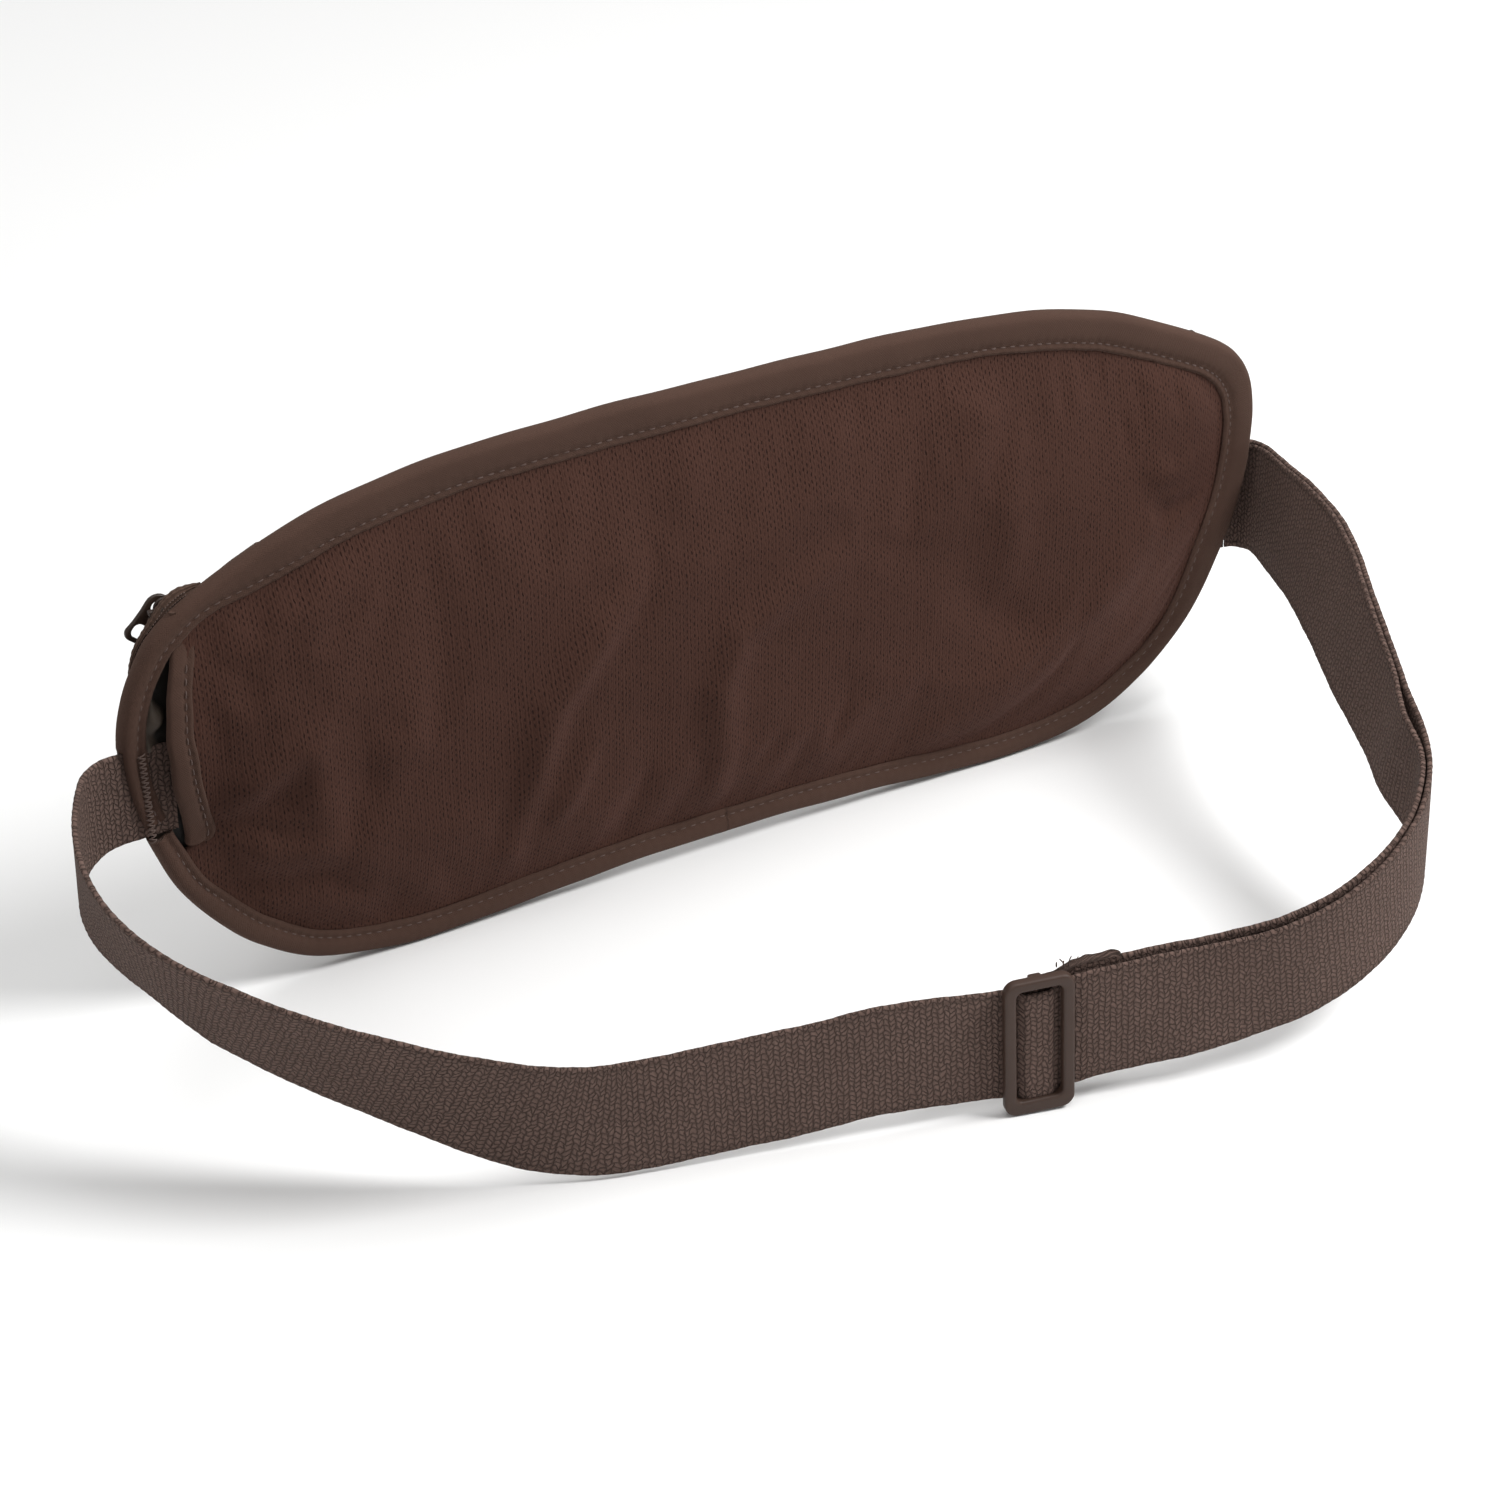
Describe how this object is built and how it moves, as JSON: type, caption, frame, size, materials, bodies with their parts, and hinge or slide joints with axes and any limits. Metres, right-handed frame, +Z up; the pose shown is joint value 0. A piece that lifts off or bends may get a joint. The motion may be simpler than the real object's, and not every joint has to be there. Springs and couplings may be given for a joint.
{
  "type": "money belt",
  "caption": "Flat zipped waist pouch with a mesh stash pocket, folded edge binding and an elastic belt with slide adjuster and side-release buckle.",
  "frame": {"origin": "on the table, under the middle of the whole object's bounding box", "axes": "+X along the pouch from the pocket mouth towards the buckle end, +Y out of the zip side away from the wearer, +Z up the pouch"},
  "size_m": [0.3288, 0.151, 0.125],
  "materials": {
    "mesh_fabric": "wicking knit mesh, matt",
    "binding_fabric": "folded woven tape, matt",
    "lining_fabric": "thin nylon, slight sheen",
    "shell_fabric": "plain woven nylon, soft sheen",
    "zip_tape": "ribbed knit tape",
    "zip_coil": "nylon coil",
    "zip_metal": "dark brown enamel, semi-gloss",
    "elastic_webbing": "ribbed woven elastic",
    "hardware_plastic": "moulded acetal, satin"
  },
  "bodies": {
    "pouch": {"back_mesh_panel": "mesh_fabric", "mesh_pocket_binding": "binding_fabric", "divider_lining": "lining_fabric", "front_panel_upper": "shell_fabric", "front_panel_lower": "shell_fabric", "edge_binding": "binding_fabric", "zip_tape_upper": "zip_tape", "zip_tape_lower": "zip_tape", "zip_coil_upper": "zip_coil", "zip_coil_lower": "zip_coil", "zip_top_stops": "zip_metal", "zip_bottom_stop": "zip_metal", "elastic_strap": "elastic_webbing", "buckle_socket": "hardware_plastic", "socket_tab": "elastic_webbing"},
    "zip_slider": {"zip_slider_body": "zip_metal"},
    "zip_pull": {"zip_pull_tab": "zip_metal"},
    "adjuster": {"adjuster_frame": "hardware_plastic", "strap_end_loop": "elastic_webbing"},
    "plug": {"buckle_plug": "hardware_plastic"},
    "prong_upper": {"plug_prong_upper": "hardware_plastic"},
    "prong_lower": {"plug_prong_lower": "hardware_plastic"}
  },
  "joints": [
    {"name": "zip_travel", "type": "slide", "parent": "pouch", "child": "zip_slider", "axis": [1, 0, 0], "range_m": [0, 0.257], "deforming": ["zip_coil_upper", "zip_coil_lower"]},
    {"name": "zip_pull_swing", "type": "hinge", "parent": "zip_slider", "child": "zip_pull", "pos_m": [-0.1276, 0.07093, 0.1005], "axis": [0, 1, 0], "range_deg": [-35, 125]},
    {"name": "adjuster_travel", "type": "slide", "parent": "pouch", "child": "adjuster", "axis": [0.9691, -0.2416, 0.0488], "range_m": [-0.06, 0.022], "deforming": ["elastic_strap"]},
    {"name": "buckle_release", "type": "slide", "parent": "pouch", "child": "plug", "axis": [1, 0, 0], "range_m": [0, 0.026], "deforming": ["elastic_strap", "plug_prong_upper", "plug_prong_lower"]},
    {"name": "prong_squeeze", "type": "hinge", "parent": "plug", "child": "prong_upper", "pos_m": [0.12183, 0.07178, 0.0657], "axis": [0, -1, 0], "range_deg": [0, 11]},
    {"name": "prong_squeeze_lower", "type": "hinge", "parent": "plug", "child": "prong_lower", "pos_m": [0.12183, 0.07178, 0.0397], "axis": [0, 1, 0], "range_deg": [0, 11]}
  ]
}
